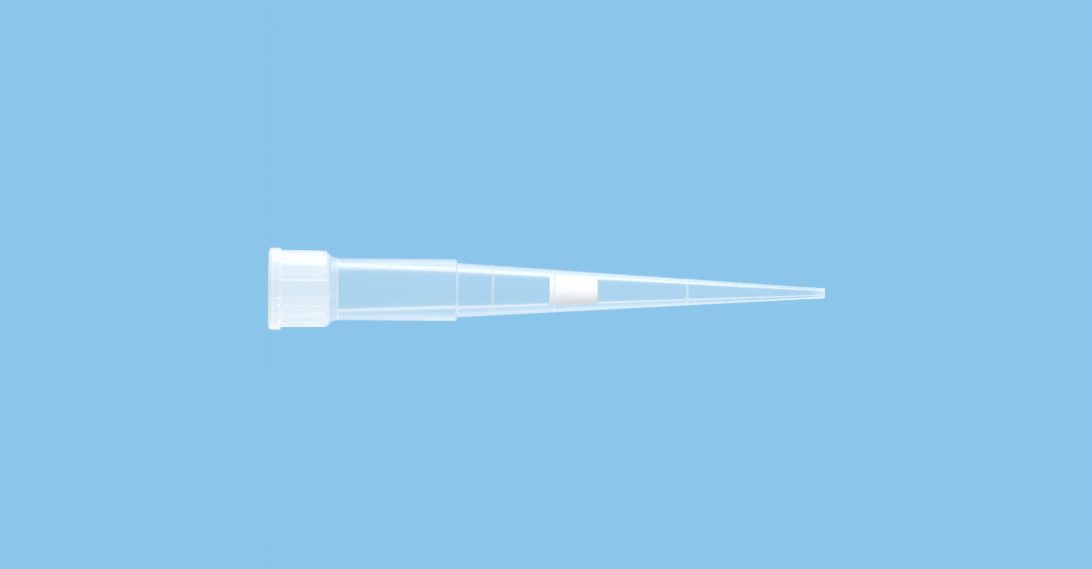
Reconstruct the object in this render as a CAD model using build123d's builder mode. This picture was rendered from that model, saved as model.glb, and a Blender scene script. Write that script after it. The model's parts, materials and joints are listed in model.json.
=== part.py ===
"""Filter pipette tip: a moulded tip body with a porous plug pressed into its bore.

Millimetres. The axis is +Z, the mouth face lies on Z = 0 and the orifice is at the top.
"""

from build123d import *
from math import asin, cos, degrees, radians, tan
import os

# Overall
tip_length = 51.0

# Socket that a nozzle is pushed into, from the mouth inwards
lead_in_width = 0.25
lead_in_depth = 0.35
entry_relief = 0.10
seal_diameter = 5.20
seal_depth = 1.50
seal_length = 2.00
stop_relief = 0.18
stop_depth = 6.30
stop_ledge = 0.29

# Rim and collar
rim_height = 1.15
rim_projection = 0.24
rim_mouth_radius = 0.30
rim_bevel = 0.12
collar_wall = 0.91
collar_length = 4.17
collar_draft = 0.70
collar_edge_bevel = 0.06

# Shoulder, barrel and cone
shoulder_bevel_length = 0.41
shoulder_curve_length = 0.82
shoulder_curve_radius = 1.60
barrel_wall = 0.70
barrel_length = 10.75
barrel_step = 0.34
barrel_edge_radius = 0.25
cone_wall = 0.73
orifice_diameter = 0.40
end_wall = 0.25
end_edge_bevel = 0.05

# Grip ribs round the collar, and the bare moulding pad between two of them
rib_count = 9
rib_width = 0.20
rib_height = 0.05
rib_root = 0.30
rib_end_length = 0.20
rib_clocking = 13.0
pad_width = 0.50
pad_length = 0.92
pad_height = 0.05
pad_root = 0.20
pad_gap = 0.18

# Volume rings, as heights above the mouth face
ring_heights = (20.57, 26.20, 38.38)
ring_width = 0.28
ring_crest_width = 0.14
ring_height = 0.04
ring_root = 0.10

# Porous plug, by the height of its mouth-side face
filter_height = 25.75
filter_length = 4.40
filter_edge = 0.06

# Heights and radii that follow
collar_end = rim_height + collar_length
shoulder_break = collar_end + shoulder_bevel_length
shoulder_end = shoulder_break + shoulder_curve_length
barrel_end = shoulder_end + barrel_length
filter_end = filter_height + filter_length
seal_radius = seal_diameter / 2
entry_radius = seal_radius + entry_relief
mouth_radius = entry_radius + lead_in_width
stop_radius = seal_radius - stop_relief
bore_radius = stop_radius - stop_ledge
collar_radius = seal_radius + collar_wall
rim_radius = collar_radius + rim_projection
barrel_radius = bore_radius + barrel_wall
cone_radius = barrel_radius - barrel_step
cone_bore_radius = cone_radius - cone_wall
orifice_radius = orifice_diameter / 2
end_radius = orifice_radius + end_wall

# The side that the pad faces, as an angle about the axis
front = 270.0


def along_cone(height, first_radius, last_radius):
    """Radius on a straight taper that runs from the barrel's end to the orifice."""
    share = (height - barrel_end) / (tip_length - barrel_end)
    return first_radius + share * (last_radius - first_radius)


def cone_radius_at(height):
    """Outer radius of the cone."""
    return along_cone(height, cone_radius, end_radius)


def bore_radius_at(height):
    """Radius of the bore inside the cone."""
    return along_cone(height, cone_bore_radius, orifice_radius)


# The collar narrows a little from the rim to the shoulder, so that it leaves its mould
collar_end_radius = collar_radius - collar_length * tan(radians(collar_draft))

# One grip rib, on the +X side
with BuildPart() as rib:
    with BuildSketch(Plane.XZ):
        with BuildLine():
            Polyline(
                (collar_radius - rib_root, rim_height - rim_bevel),
                (collar_radius + rib_height, rim_height - rim_bevel),
                (collar_end_radius + rib_height, collar_end),
                (collar_end_radius - rib_root, collar_end + rib_end_length),
                close=True,
            )
        make_face()
    extrude(amount=rib_width / 2, both=True)

with BuildPart() as tip_body:
    # Section through the wall, turned about the axis
    shoulder_sweep = asin(shoulder_curve_length / shoulder_curve_radius)
    shoulder_rise = shoulder_curve_radius * (1 - cos(shoulder_sweep))
    with BuildSketch(Plane.XZ) as section:
        with BuildLine():
            Polyline(
                (mouth_radius, 0),
                (rim_radius, 0),
                (rim_radius, rim_height),
                (collar_radius, rim_height),
                (collar_end_radius, collar_end),
                (barrel_radius + shoulder_rise, shoulder_break),
            )
            JernArc(
                start=(barrel_radius, shoulder_end),
                tangent=(0, -1),
                radius=shoulder_curve_radius,
                arc_size=degrees(shoulder_sweep),
            )
            Polyline(
                (barrel_radius, shoulder_end),
                (barrel_radius, barrel_end),
                (cone_radius, barrel_end),
                (end_radius, tip_length),
                (orifice_radius, tip_length),
                (cone_bore_radius, barrel_end),
                (bore_radius, stop_depth),
                (stop_radius, stop_depth),
                (seal_radius, seal_depth + seal_length),
                (seal_radius, seal_depth),
                (entry_radius, lead_in_depth),
                (mouth_radius, 0),
            )
        make_face()
        for corner, radius in (
            ((rim_radius, 0), rim_mouth_radius),
            ((barrel_radius, barrel_end), barrel_edge_radius),
        ):
            fillet(section.vertices().sort_by_distance(corner)[0], radius)
        for corner, bevel in (
            ((rim_radius, rim_height), rim_bevel),
            ((collar_end_radius, collar_end), collar_edge_bevel),
            ((end_radius, tip_length), end_edge_bevel),
        ):
            chamfer(section.vertices().sort_by_distance(corner)[0], bevel)
    revolve(axis=Axis.Z)

    # Raised volume rings, each a shallow band with sloping sides
    for ring in ring_heights:
        with BuildSketch(Plane.XZ):
            with BuildLine():
                Polyline(
                    (cone_radius_at(ring) - ring_root, ring - ring_width / 2),
                    (cone_radius_at(ring - ring_width / 2), ring - ring_width / 2),
                    (cone_radius_at(ring) + ring_height, ring - ring_crest_width / 2),
                    (cone_radius_at(ring) + ring_height, ring + ring_crest_width / 2),
                    (cone_radius_at(ring + ring_width / 2), ring + ring_width / 2),
                    (cone_radius_at(ring) - ring_root, ring + ring_width / 2),
                    close=True,
                )
            make_face()
        revolve(axis=Axis.Z)

    with PolarLocations(0, rib_count, start_angle=front - rib_clocking):
        add(rib.part)

    with BuildSketch(Plane.XZ.offset(collar_radius - pad_root)):
        with Locations((0, rim_height + pad_gap + pad_length / 2)):
            Rectangle(pad_width, pad_length)
    extrude(amount=pad_root + pad_height)

# The plug seats in the bore along its whole side, where the taper stops it
with BuildPart() as filter_plug:
    with BuildSketch(Plane.XZ):
        with BuildLine():
            Polyline(
                (0, filter_height),
                (bore_radius_at(filter_height), filter_height),
                (bore_radius_at(filter_end), filter_end),
                (0, filter_end),
                close=True,
            )
        make_face()
    revolve(axis=Axis.Z)
    chamfer(filter_plug.edges().filter_by(GeomType.CIRCLE), filter_edge)

tip_body.part.label = "tip_body"
filter_plug.part.label = "filter_plug"

os.makedirs("parts", exist_ok=True)
export_step(tip_body.part, "parts/tip_body.step")
export_step(filter_plug.part, "parts/filter_plug.step")
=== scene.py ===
"""Filter pipette tip: the clear moulded body with its frosted collar, and the white porous plug inside."""

import json
from math import asin, cos, degrees, pi, radians, sin, tan

import bmesh
import bpy
from mathutils import Matrix, Vector


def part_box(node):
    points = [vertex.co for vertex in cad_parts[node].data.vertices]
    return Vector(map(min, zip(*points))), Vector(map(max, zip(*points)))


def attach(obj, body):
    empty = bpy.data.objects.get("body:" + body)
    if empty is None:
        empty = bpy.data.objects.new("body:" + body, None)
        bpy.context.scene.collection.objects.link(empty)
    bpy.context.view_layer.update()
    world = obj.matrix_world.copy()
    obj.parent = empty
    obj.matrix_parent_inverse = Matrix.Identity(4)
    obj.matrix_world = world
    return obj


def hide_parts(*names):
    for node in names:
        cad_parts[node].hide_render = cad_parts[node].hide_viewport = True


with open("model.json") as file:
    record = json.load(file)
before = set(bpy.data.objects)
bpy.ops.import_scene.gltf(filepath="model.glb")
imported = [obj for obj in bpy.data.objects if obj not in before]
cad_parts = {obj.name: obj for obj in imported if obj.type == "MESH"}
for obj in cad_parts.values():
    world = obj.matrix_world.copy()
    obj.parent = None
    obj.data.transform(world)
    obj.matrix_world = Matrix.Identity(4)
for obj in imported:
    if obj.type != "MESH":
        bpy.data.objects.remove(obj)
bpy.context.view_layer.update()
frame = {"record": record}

MM = 0.001
NEAR = 1e-4

# Sizes in millimetres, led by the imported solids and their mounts
mounts = {mount["name"]: mount for mount in frame["record"]["mounts"]}
body_low, body_high = (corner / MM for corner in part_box("tip_body"))
plug_low, plug_high = (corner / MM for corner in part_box("filter_plug"))

tip_length = body_high.z
rim_radius = body_high.x
rim_height = 1.15
collar_radius = rim_radius - 0.24
collar_end = 5.32
collar_end_radius = collar_radius - 0.051
shoulder_break = 5.73
shoulder_end = 6.55
shoulder_curve_radius = 1.60
barrel_radius = mounts["rack_barrel"]["dims"]["r_mm"]
barrel_end = 17.30
cone_radius = barrel_radius - 0.34
end_radius = 0.45
orifice_radius = 0.20
cone_bore_radius = cone_radius - 0.73
bore_radius = 2.13
stop_depth = 6.30
stop_radius = 2.42
seal_radius = mounts["nozzle_socket"]["dims"]["r_mm"]
seal_start = 1.50
seal_end = 3.50
lead_in_depth = 0.35
entry_radius = seal_radius + 0.10
mouth_radius = entry_radius + 0.25

ring_heights = (20.57, 26.20, 38.38)
ring_width = 0.22
ring_height = 0.025
ring_points = 6

turn_steps = 216
rib_count = 9
rib_pitch_steps = turn_steps // rib_count
rib_angle = radians(257)
rib_height = 0.05
rib_side = 0.035
pad_start = 1.33
pad_end = 2.25
pad_first_step = 5
pad_last_step = 10

# Share of the collar's taper that lies below each end of the pad
pad_start_taper = 0.04
pad_end_taper = 0.26

plug_clearance = 0.015
plug_edge = 0.06
hold = 0.02
wide_rounding = 0.20

outside_index, bore_index, edge_index = range(3)


def along_cone(height, first_radius, last_radius):
    """Radius on a straight taper from the barrel's end to the orifice."""
    share = (height - barrel_end) / (tip_length - barrel_end)
    return first_radius + share * (last_radius - first_radius)


def cone_radius_at(height):
    return along_cone(height, cone_radius, end_radius)


def bore_radius_at(height):
    return along_cone(height, cone_bore_radius, orifice_radius)


# ---------------------------------------------------------------- mesh helpers


def polar(vert):
    """Radius, angle and height of a vertex about the tip's axis."""
    return vert.co.xy.length, Vector((1, 0)).angle_signed(vert.co.xy, 0), vert.co.z


def turned(outline, start_angle, closed):
    """A form spun about Z from an outline of (radius, height) points."""
    bm = bmesh.new()
    verts = [
        bm.verts.new((radius * cos(start_angle), radius * sin(start_angle), height))
        for radius, height in outline
    ]
    edges = [bm.edges.new(pair) for pair in zip(verts, verts[1:])]
    if closed:
        edges.append(bm.edges.new((verts[-1], verts[0])))
    bmesh.ops.spin(
        bm,
        geom=verts + edges,
        cent=(0, 0, 0),
        axis=(0, 0, 1),
        angle=2 * pi,
        steps=turn_steps,
        use_merge=True,
    )
    bmesh.ops.remove_doubles(bm, verts=bm.verts, dist=NEAR)
    bmesh.ops.recalc_face_normals(bm, faces=bm.faces)
    return bm


def round_corner(bm, corner, width, segments):
    """Bevels the turned edge that runs through one (radius, height) corner."""

    def on_corner(vert):
        return (Vector((vert.co.xy.length, vert.co.z)) - Vector(corner)).length < NEAR * 10

    edges = [edge for edge in bm.edges if all(on_corner(vert) for vert in edge.verts)]
    bmesh.ops.bevel(
        bm,
        geom=edges,
        offset=width,
        offset_type="OFFSET",
        segments=segments,
        profile=0.5,
        affect="EDGES",
        material=-1,
    )


def finished(bm, name, sharp_degrees):
    """A smooth object in metres, with its place in its mesh."""
    bmesh.ops.scale(bm, vec=(MM, MM, MM), verts=bm.verts)
    mesh = bpy.data.meshes.new(name)
    bm.to_mesh(mesh)
    bm.free()
    mesh.shade_smooth()
    mesh.set_sharp_from_angle(angle=radians(sharp_degrees))
    piece = bpy.data.objects.new(name, mesh)
    bpy.context.scene.collection.objects.link(piece)
    return piece


# ---------------------------------------------------------------- tip body


def shoulder_curve():
    """The hollow curve that runs from the shoulder's bevel up into the barrel."""
    sweep = asin((shoulder_end - shoulder_break) / shoulder_curve_radius)
    steps = 6
    return [
        (
            barrel_radius + shoulder_curve_radius * (1 - cos(sweep * (1 - step / steps))),
            shoulder_end - shoulder_curve_radius * sin(sweep * (1 - step / steps)),
            0,
        )
        for step in range(steps + 1)
    ]


def ring_bead(height):
    """A shallow rounded bead on the cone."""
    corners = []
    for step in range(ring_points + 1):
        share = step / ring_points
        level = height + ring_width * (share - 0.5)
        corners.append((cone_radius_at(level) + ring_height * sin(pi * share), level, 0))
    return corners


def body_corners():
    """Section of the wall, up the outside and back down the bore, with each corner's rounding."""
    taper = collar_end_radius - collar_radius
    outside = [
        (mouth_radius, 0, 0.05),
        (rim_radius, 0, 0.30),
        (rim_radius, rim_height, 0.12),
        (collar_radius, rim_height, 0),
        (collar_radius + taper * pad_start_taper, pad_start, 0),
        (collar_radius + taper * pad_end_taper, pad_end, 0),
        (collar_end_radius, collar_end, 0),
        *shoulder_curve(),
        (barrel_radius, barrel_end, 0.25),
        (cone_radius, barrel_end, 0.05),
    ]
    for height in ring_heights:
        outside += ring_bead(height)
    inside = [
        (end_radius, tip_length, 0.06),
        (orifice_radius, tip_length, 0.03),
        (cone_bore_radius, barrel_end, 0),
        (bore_radius, stop_depth, 0.05),
        (stop_radius, stop_depth, 0.05),
        (seal_radius, seal_end, 0),
        (seal_radius, seal_start, 0),
        (entry_radius, lead_in_depth, 0),
    ]
    return outside + inside


def held(corners):
    """Adds a point near both ends of each long run, so that its shading stays straight."""
    points = []
    for first, last in zip(corners, corners[1:] + corners[:1]):
        start, end = Vector(first[:2]), Vector(last[:2])
        run = (end - start).normalized()
        points.append(start)
        if (end - start).length > first[2] + last[2] + 4 * hold:
            points += [start + run * (first[2] + hold), end - run * (last[2] + hold)]
    return points


def steps_from_rib(face):
    """How many turning steps a face's middle lies past the first rib."""
    middle = face.calc_center_median()
    angle = (Vector((1, 0)).angle_signed(middle.xy) * -1 - rib_angle) % (2 * pi)
    return angle / (2 * pi) * turn_steps


def raise_faces(bm, faces, height, side):
    """Lifts a patch of the collar into a low boss and gives its sloping sides."""
    raised = bmesh.ops.inset_region(
        bm,
        faces=faces,
        thickness=side,
        depth=height,
        use_even_offset=True,
        use_boundary=True,
    )
    return raised["faces"]


def collar_faces(bm):
    """The faces of the collar's straight wall, between the rim and the shoulder."""
    return [
        face
        for face in bm.faces
        if collar_end_radius - NEAR < max(v.co.xy.length for v in face.verts) < collar_radius + NEAR
        and min(v.co.z for v in face.verts) > rim_height - NEAR
        and max(v.co.z for v in face.verts) < collar_end + NEAR
    ]


def rib_and_pad_faces(bm):
    """The collar's faces that each grip rib rises from, and those of the moulding pad."""
    ribs = [[] for _ in range(rib_count)]
    pad = []
    for face in collar_faces(bm):
        step = steps_from_rib(face)
        nearest = round(step / rib_pitch_steps)
        if abs(step - nearest * rib_pitch_steps) < 1:
            ribs[nearest % rib_count].append(face)
        height = face.calc_center_median().z
        if pad_first_step < step < pad_last_step and pad_start < height < pad_end:
            pad.append(face)
    return ribs, pad


def in_bore(face):
    """Whether a face looks in towards the axis or lies on the ledge that stops the nozzle."""
    centre = face.calc_center_median()
    inward = face.normal.xy.dot(centre.xy.normalized()) < -0.02
    ledge = abs(centre.z - stop_depth) < 0.1 and centre.xy.length < stop_radius
    return inward or ledge


def make_body():
    corners = body_corners()
    bm = turned(held(corners), rib_angle, closed=True)
    ribs, pad = rib_and_pad_faces(bm)
    for patch in ribs:
        sides = raise_faces(bm, patch, rib_height, rib_side)
        for face in patch + sides:
            face.material_index = edge_index
    for side in raise_faces(bm, pad, rib_height, rib_side):
        if abs(side.normal.z) < 0.3:
            side.material_index = edge_index
    for radius, height, rounding in corners:
        if rounding:
            round_corner(bm, (radius, height), rounding, 6 if rounding > wide_rounding else 3)
    for face in bm.faces:
        if in_bore(face):
            face.material_index = bore_index
    return finished(bm, "moulded_tip_body", 40)


# ---------------------------------------------------------------- porous plug


def make_plug():
    bottom, top = plug_low.z, plug_high.z
    rims = [(bore_radius_at(height) - plug_clearance, height) for height in (bottom, top)]
    bm = turned([(NEAR / 10, bottom), *rims, (NEAR / 10, top)], rib_angle, closed=False)
    for rim in rims:
        round_corner(bm, rim, plug_edge, 3)
    return finished(bm, "porous_plug", 50)


# ---------------------------------------------------------------- shader helpers


class Maths:
    """A shader number that can be used in sums."""

    def __init__(self, finish, socket):
        self.finish = finish
        self.socket = socket

    def sum(self, operation, *values):
        return self.finish.node("ShaderNodeMath", {"operation": operation}, dict(enumerate(values)))

    def __add__(self, other):
        return self.sum("ADD", self, other)

    __radd__ = __add__

    def __sub__(self, other):
        return self.sum("SUBTRACT", self, other)

    def __rsub__(self, other):
        return self.sum("SUBTRACT", other, self)

    def __mul__(self, other):
        return self.sum("MULTIPLY", self, other)

    __rmul__ = __mul__


class Finish:
    """The node tree of one material, lamp or world."""

    def __init__(self, owner):
        self.tree = owner.node_tree
        self.tree.nodes.clear()

    def node(self, kind, settings=None, inputs=None, output=0):
        """Makes a node, sets it, then fills its sockets with values or links."""
        made = self.tree.nodes.new(kind)
        for setting, value in (settings or {}).items():
            setattr(made, setting, value)
        for socket, value in (inputs or {}).items():
            if isinstance(value, Maths):
                self.tree.links.new(value.socket, made.inputs[socket])
            else:
                made.inputs[socket].default_value = value
        return Maths(self, made.outputs[output]) if made.outputs else made

    def along(self, axis):
        """Object coordinate along X, Y or Z, in millimetres."""
        place = self.node("ShaderNodeTexCoord", output="Object")
        split = self.node("ShaderNodeSeparateXYZ", inputs={0: place}, output=axis)
        return split * (1 / MM)

    def step(self, value, low, high):
        """Rises smoothly from 0 at low to 1 at high."""
        settings = {"interpolation_type": "SMOOTHSTEP"}
        return self.node(
            "ShaderNodeMapRange", settings, {"Value": value, "From Min": low, "From Max": high}
        )

    def band(self, value, middle, width, fade):
        """1 inside a band, fading to 0 past its edges."""
        half = width / 2
        rise = self.step(value, middle - half - fade, middle - half)
        fall = self.step(value, middle + half, middle + half + fade)
        return rise * (1 - fall)

    def noise(self, size, detail=2.0, stretch=(1, 1, 1)):
        """Noise whose grain is about size millimetres."""
        place = self.node("ShaderNodeTexCoord", output="Object")
        scaled = self.node("ShaderNodeMapping", inputs={"Vector": place, "Scale": stretch})
        return self.node(
            "ShaderNodeTexNoise",
            inputs={"Vector": scaled, "Scale": 1 / (size * MM), "Detail": detail},
        )

    def bump(self, height, strength, distance):
        return self.node(
            "ShaderNodeBump",
            inputs={"Height": height, "Strength": strength, "Distance": distance * MM},
        )

    def tint(self, amount, first, second):
        """A colour between two others."""
        return self.node(
            "ShaderNodeMix",
            {"data_type": "RGBA"},
            {"Factor": amount, "A": first, "B": second},
            output="Result",
        )

    def blend(self, amount, first, second):
        """A shader between two others."""
        return self.node("ShaderNodeMixShader", inputs={0: amount, 1: first, 2: second})

    def output(self, surface, kind="ShaderNodeOutputMaterial"):
        self.node(kind, inputs={0: surface})


def new_material(name):
    material = bpy.data.materials.new(name)
    material.use_nodes = True
    return material, Finish(material)


# ---------------------------------------------------------------- materials

polypropylene_ior = 1.49
coat_ior = 1.75
clear_colour = (0.985, 0.985, 0.985, 1)
milk_colour = (0.99, 0.99, 0.99, 1)
# The rings' colour: darker and bluer than the milk, painted shade standing for the blue backdrop seen
# through the rings' edges
ring_shade_tint = (0.63, 0.72, 0.75, 1)
plug_colours = ((0.90, 0.90, 0.90, 1), (0.97, 0.97, 0.965, 1))

# How milky each stretch of the wall is, as the share of the light that it scatters back
collar_milk = 0.74
shoulder_milk = 0.42
barrel_milk = 0.21
cone_milk = 0.185

# What is added to that where the plastic is thicker or rougher or bears a mark of its mould, less on a band
# facing the camera, and painted glints: two bright spots on the rim
rim_milk = 0.05
groove_milk = -0.04
front_band_milk = -0.09
parting_milk = 0.03
nub_milk = 0.07
glint_milk = 0.40
ledge_milk = 0.25
step_milk = 0.07
ring_milk = 0.55
end_milk = 0.20
end_face_milk = 0.12
mouth_share = 0.90
flow_share = 0.16

# How the milk grows from one slant of the view to another, and how much less at the shoulder and cone's end
slant_start = 0.16
slant_range = 0.38
slant_milk = 0.88
shoulder_slant_milk = -0.66
cone_end_slant_milk = -0.42
collar_edge_milk = 0.30
rim_edge_milk = 0.20

# Bearings in degrees: the side that faces the camera, where the collar is less milky, and from there the
# parting line and the two painted glints on the rim
front_bearing = -90
front_band_width = 23
parting_line = 12
glint_bearings = (12.8, 23.5)


def clear_plastic(finish, roughness, bump):
    """The share of the light that passes straight through the wall."""
    return finish.node(
        "ShaderNodeBsdfPrincipled",
        inputs={
            "Base Color": clear_colour,
            "Roughness": roughness,
            "IOR": polypropylene_ior,
            "Transmission Weight": 1.0,
            "Normal": bump,
        },
    )


def milky_plastic(finish, colour, roughness, bump, coat):
    """The share of the light that the cloudy plastic scatters back."""
    return finish.node(
        "ShaderNodeBsdfPrincipled",
        inputs={
            "Base Color": colour,
            "Roughness": roughness,
            "IOR": polypropylene_ior,
            "Coat Weight": coat,
            "Coat Roughness": 0.10,
            "Coat IOR": coat_ior,
            "Normal": bump,
        },
    )


def milk_by_height(finish, height, collar, shoulder, rim):
    """The wall's milk from the frosted collar up to the end of the cone."""
    barrel = 1 - finish.step(height, barrel_end, barrel_end + 0.1)
    milk = cone_milk + (barrel_milk - cone_milk) * barrel
    milk = milk + shoulder * (shoulder_milk - barrel_milk) + collar * (collar_milk - shoulder_milk)
    milk = milk + rim * rim_milk + finish.band(height, 0.75, 0.30, 0.12) * groove_milk
    milk = milk + finish.band(height, stop_depth + 0.06, 0.12, 0.05) * ledge_milk
    milk = milk + finish.band(height, barrel_end + 0.07, 0.18, 0.08) * step_milk
    milk = milk + finish.step(height, tip_length - 1.8, tip_length + 0.2) * end_milk
    return milk + finish.step(height, tip_length - 0.2, tip_length - 0.05) * end_face_milk


def marks_and_glints(finish, height, collar, shoulder):
    """A less milky band on the collar facing the camera, the parting line with its nub, and two painted
    glints, bright spots on the rim.
    """
    across, along = finish.along("X"), finish.along("Y")
    bearing = along.sum("ARCTAN2", along, across) * degrees(1)
    # Less milk, so darker and bluer, on a band of the collar that faces the camera
    front_band = finish.band(bearing, front_bearing, front_band_width, 2) * collar
    line = finish.band(bearing, front_bearing + parting_line, 1.5, 1.5) * shoulder
    nub = finish.band(bearing, front_bearing + parting_line, 3, 1)
    nub = nub * finish.band(height, shoulder_break - 0.01, 0.20, 0.12)
    milk = front_band * front_band_milk + line * parting_milk + nub * nub_milk
    # Painted glints: two small bright spots of extra milk on the rim, placed by their bearing from the
    # camera side
    for glint in glint_bearings:
        dot = finish.band(bearing, front_bearing + glint, 1.6, 0.8)
        milk = milk + dot * finish.band(height, 1.0, 0.10, 0.05) * glint_milk
    return milk


def milk_by_slant(finish, height, slant, shoulder, rim):
    """More milk where the wall is seen at a slant, through more of the cloudy plastic."""
    depth = slant.sum("MAXIMUM", slant - slant_start, 0.0)
    depth = slant.sum("MINIMUM", depth, slant_range)
    cone_end = finish.step(height, 36, 49)
    milk = depth * (slant_milk + shoulder * shoulder_slant_milk + cone_end * cone_end_slant_milk)
    collar = finish.band(height, collar_end / 2, collar_end - 0.8, 0.1)
    milk = milk + finish.step(slant, 0.50, 0.70) * collar * collar_edge_milk
    return milk + finish.step(slant, 0.30, 0.55) * rim * rim_edge_milk


def ring_marks(finish, height, slant):
    """1 on the volume rings, fading where they turn out of sight."""
    rings = 0
    for ring in ring_heights:
        rings = rings + finish.band(height, ring, 0.12, 0.08)
    return rings * (1 - finish.step(slant, 0.50, 0.80))


def outside_material():
    """Cloudy moulded plastic, polished on the barrel and cone and finely textured on the collar."""
    material, finish = new_material("milky polypropylene outside")
    height = finish.along("Z")
    flow = finish.noise(2.5, 3.0, (1, 1, 0.25))
    grain = finish.noise(0.12, 2.0)
    slant = finish.node("ShaderNodeLayerWeight", inputs={"Blend": 0.5}, output="Facing")
    from_outside = 1 - finish.node("ShaderNodeNewGeometry", output="Backfacing")

    collar = 1 - finish.step(height, collar_end + 0.10, collar_end + 0.45)
    shoulder = 1 - finish.step(height, stop_depth - 0.05, stop_depth + 0.1)
    rim = 1 - finish.step(height, rim_height - 0.05, rim_height + 0.05)
    rings = ring_marks(finish, height, slant)
    milk = milk_by_height(finish, height, collar, shoulder, rim)
    milk = milk + marks_and_glints(finish, height, collar, shoulder) + rings * ring_milk
    milk = milk + milk_by_slant(finish, height, slant, shoulder, rim)
    milk = milk * (mouth_share + finish.step(height, 0.05, 0.25) * (1 - mouth_share))
    milk = milk * (1 - flow_share / 2 + flow * flow_share)

    # Painted shade: on the rings the milk turns to the darker, bluer ring tint
    colour = finish.tint(rings, milk_colour, ring_shade_tint)
    coat = shoulder * (1 - finish.step(slant, 0.45, 0.65))
    clear = clear_plastic(finish, 0.05 + flow * 0.05, finish.bump(flow, 0.04, 0.3))
    milky = milky_plastic(
        finish, colour, 0.25 + grain * 0.15, finish.bump(grain, 0.10, 0.02), coat
    )
    finish.output(finish.blend(milk * from_outside, clear, milky))
    return material


def edge_material():
    """The ribs and the small pad's edges, which catch the light along their whole length."""
    material, finish = new_material("milky polypropylene edges")
    flow = finish.noise(0.8, 2.0)
    clear = clear_plastic(finish, 0.10, finish.bump(flow, 0.04, 0.1))
    milky = milky_plastic(finish, milk_colour, 0.25 + flow * 0.1, finish.bump(flow, 0.05, 0.02), 1.0)
    from_outside = 1 - finish.node("ShaderNodeNewGeometry", output="Backfacing")
    finish.output(finish.blend(from_outside * (0.78 + flow * 0.1), clear, milky))
    return material


def bore_material():
    """The same plastic inside the bore, clear and smooth from the core pin."""
    material, finish = new_material("milky polypropylene bore")
    flow = finish.noise(1.8, 3.0, (1, 1, 0.2))
    finish.output(clear_plastic(finish, 0.04 + flow * 0.05, finish.bump(flow, 0.03, 0.3)))
    return material


def plug_material():
    """White sintered plastic: fused grains with pores between them."""
    material, finish = new_material("sintered white plug")
    grain = finish.noise(0.16, 4.0)
    pores = finish.noise(0.07, 2.0)
    white = finish.node(
        "ShaderNodeBsdfPrincipled",
        inputs={
            "Base Color": finish.tint(grain, *plug_colours),
            "Roughness": 0.85,
            "Normal": finish.bump(grain + pores * 0.5, 0.35, 0.05),
        },
    )
    finish.output(white)
    return material


# ---------------------------------------------------------------- stage, lamps and camera

backdrop_colour = (0.2582, 0.5647, 0.8228, 1)
fill_colour = (0.55, 0.55, 0.55, 1)
overhead_light = 0.2
floor_radius = 0.07
floor_colour = (0.9, 0.9, 0.9, 1)
floor_light = 0.9
floor_bounce = 1.4

# The floor is mostly the backdrop's colour, and as much of it as shadow_share is lit and takes the shadow,
# which fades out between two distances in millimetres from the tip
shadow_share = 0.15
shadow_fade = (12.4, 62.0)
floor_tint = [
    (shade - shadow_share * pale * floor_light) / (1 - shadow_share)
    for shade, pale in zip(backdrop_colour[:3], floor_colour)
] + [1]

# Each softbox's bearing and spread in degrees from +Y towards -X
softboxes = {
    "upper": (79, 44),
    "upper back": (47, 22),
    "front": (150, 58),
    "lower": (-90, 80),
    "lower back": (-41, 42),
}
softbox_edge = 4
softbox_rise = 1.2

# How bright they are on the outside of the part and on what is inside it
outside_light = {"upper": 0.70, "front": 1.52, "lower": 1.38}
inside_light = {"upper": 0.50, "front": 1.50}

# How white they show through one wall and across the whole bore, and how bright in reflections
through_wall = {"upper": 0.66, "upper back": 0.66}
across_bore = {"lower back": 0.72}
shine = {"upper": 1.5}


def seen_plainly(finish):
    """1 for a ray that the camera sends straight, by reflection or through the clear wall."""
    path = {
        name: finish.node("ShaderNodeLightPath", output=name)
        for name in ("Is Camera Ray", "Is Glossy Ray", "Is Transmission Ray", "Diffuse Depth")
    }
    seen = path["Is Camera Ray"] + path["Is Glossy Ray"] + path["Is Transmission Ray"]
    seen = seen.sum("MINIMUM", seen, 1.0)
    return seen * (1 - path["Diffuse Depth"].sum("MINIMUM", path["Diffuse Depth"], 1.0))


def make_floor():
    bm = bmesh.new()
    bmesh.ops.create_circle(bm, cap_ends=True, segments=96, radius=floor_radius)
    mesh = bpy.data.meshes.new("floor")
    bm.to_mesh(mesh)
    bm.free()
    floor = bpy.data.objects.new("floor", mesh)
    bpy.context.scene.collection.objects.link(floor)
    material, finish = new_material("pale floor")
    pale = finish.node("ShaderNodeBsdfDiffuse", inputs={"Color": floor_colour})
    tinted = finish.node("ShaderNodeEmission", inputs={"Color": floor_tint, "Strength": 1.0})
    plain = finish.node("ShaderNodeEmission", inputs={"Color": backdrop_colour, "Strength": 1.0})
    bounce = finish.node(
        "ShaderNodeEmission", inputs={"Color": fill_colour, "Strength": floor_bounce}
    )
    across, along = finish.along("X"), finish.along("Y")
    square = across * across + along * along
    far = finish.step(square.sum("SQRT", square), *shadow_fade)
    shown = finish.blend(far, finish.blend(1 - shadow_share, pale, tinted), plain)
    finish.output(finish.blend(seen_plainly(finish), bounce, shown))
    mesh.materials.append(material)


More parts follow.
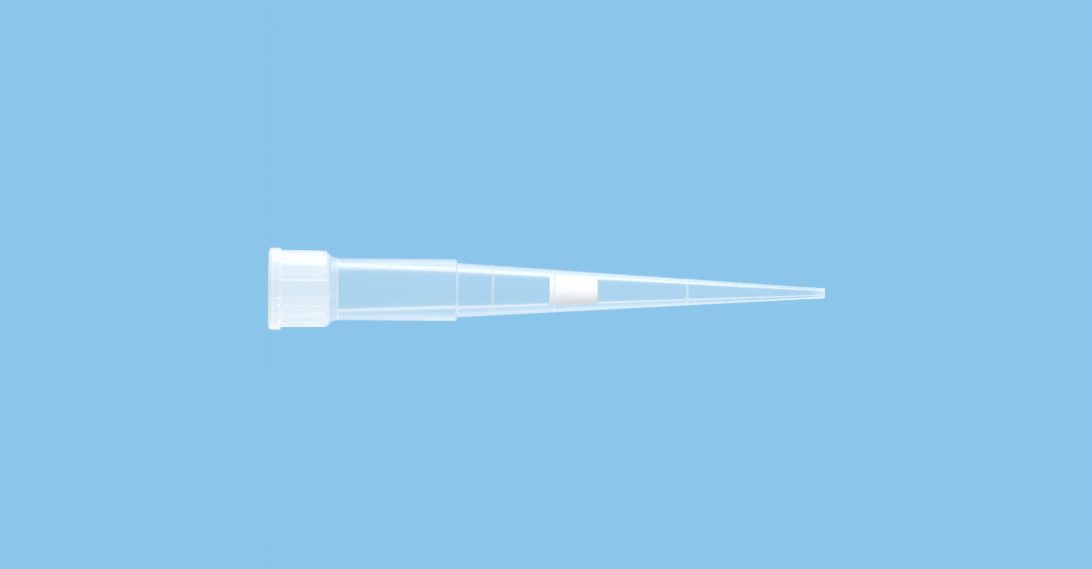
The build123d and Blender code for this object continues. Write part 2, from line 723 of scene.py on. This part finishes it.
def make_world():
    """Plain light all round, with the softboxes as they show through the walls and in reflections."""
    world = bpy.data.worlds.new("studio")
    world.use_nodes = True
    bpy.context.scene.world = world
    finish = Finish(world)
    direction = finish.node("ShaderNodeTexCoord", output="Generated")
    across = finish.node("ShaderNodeSeparateXYZ", inputs={0: direction}, output="X")
    along = finish.node("ShaderNodeSeparateXYZ", inputs={0: direction}, output="Y")
    up = finish.node("ShaderNodeSeparateXYZ", inputs={0: direction}, output="Z")
    bearing = across.sum("ARCTAN2", across * -1, along) * degrees(1)
    level = finish.band(up, 0, softbox_rise, 0.1)
    glossy = finish.node("ShaderNodeLightPath", output="Is Glossy Ray")
    transmitted = finish.node("ShaderNodeLightPath", output="Is Transmission Ray")
    scattered = finish.node("ShaderNodeLightPath", output="Diffuse Depth")
    scattered = scattered.sum("MINIMUM", scattered, 1.0)
    crossings = finish.node("ShaderNodeLightPath", output="Transmission Depth")
    crossed = finish.step(crossings, 3, 4)
    reflected = glossy * (1 - transmitted) * (1 - scattered)
    through, extra = 0, 0
    for name, (middle, spread) in softboxes.items():
        opening = finish.band(bearing, middle, spread - softbox_edge, softbox_edge) * level
        if name in through_wall:
            through = through + opening * through_wall[name]
        if name in across_bore:
            through = through + opening * crossed * across_bore[name]
        if name in inside_light:
            extra = extra + opening * transmitted * scattered * inside_light[name]
        if name in shine:
            extra = extra + opening * reflected * shine[name]
    fill = 1 + finish.step(up, 0.5, 0.7) * overhead_light
    light = finish.node("ShaderNodeBackground", inputs={"Color": fill_colour, "Strength": fill})
    blue = finish.node("ShaderNodeBackground", inputs={"Color": backdrop_colour, "Strength": 1.0})
    white = finish.node("ShaderNodeBackground", inputs={"Color": (1, 1, 1, 1), "Strength": 1.0})
    more = finish.node("ShaderNodeBackground", inputs={"Color": (1, 1, 1, 1), "Strength": extra})
    shown = finish.blend(through * transmitted, blue, white)
    plain = finish.blend(seen_plainly(finish), light, shown)
    finish.output(finish.node("ShaderNodeAddShader", inputs={0: plain, 1: more}), "ShaderNodeOutputWorld")


def make_lamp(name, bearing, spread, light):
    """A softbox on a level bearing that lights the part's outside."""
    distance, length = 0.45, 0.80
    width = 2 * distance * tan(radians(spread / 2))
    data = bpy.data.lights.new(name, "AREA")
    data.shape = "RECTANGLE"
    data.size = width
    data.size_y = length
    data.energy = pi * width * length * light
    lamp = bpy.data.objects.new(name, data)
    bpy.context.scene.collection.objects.link(lamp)
    turn = radians(bearing)
    target = Vector((0, 0, tip_length / 2 * MM))
    lamp.location = target + Vector((-sin(turn), cos(turn), 0)) * distance
    lamp.rotation_euler = (target - lamp.location).to_track_quat("-Z", "Z").to_euler()
    lamp.visible_camera = False
    lamp.visible_glossy = False
    lamp.visible_transmission = False


def make_camera():
    """A long lens level with the tip and turned so that the tip lies across the view, mouth to the left."""
    lens = 800.0
    sensor = 36.0
    view_width = 0.10007
    aside = -0.000610
    along = 0.02543
    roll = radians(0.48)
    data = bpy.data.cameras.new("camera")
    data.lens = lens
    data.sensor_width = sensor
    camera = bpy.data.objects.new("camera", data)
    bpy.context.scene.collection.objects.link(camera)
    back = Vector((0, -1, 0))
    right = Vector((-sin(roll), 0, cos(roll)))
    up = back.cross(right)
    camera.matrix_world = Matrix.Translation(
        Vector((aside, 0, along)) + back * (view_width * lens / sensor)
    ) @ Matrix((right, up, back)).transposed().to_4x4()
    bpy.context.scene.camera = camera


# ---------------------------------------------------------------- scene

make_camera()

body = make_body()
for material in (outside_material(), bore_material(), edge_material()):
    body.data.materials.append(material)
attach(body, "root")
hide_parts("tip_body")

plug = make_plug()
plug.data.materials.append(plug_material())
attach(plug, "root")
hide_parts("filter_plug")

make_floor()
make_world()
for name, light in outside_light.items():
    make_lamp(name, *softboxes[name], light)

bpy.context.scene.view_settings.view_transform = "Standard"

# Light crosses up to eight walls, and the wall is as clear to what the plug sends back as to the camera
paths = bpy.context.scene.cycles
paths.blur_glossy = 0.0
paths.max_bounces = 32
paths.glossy_bounces = 24
paths.transmission_bounces = 32
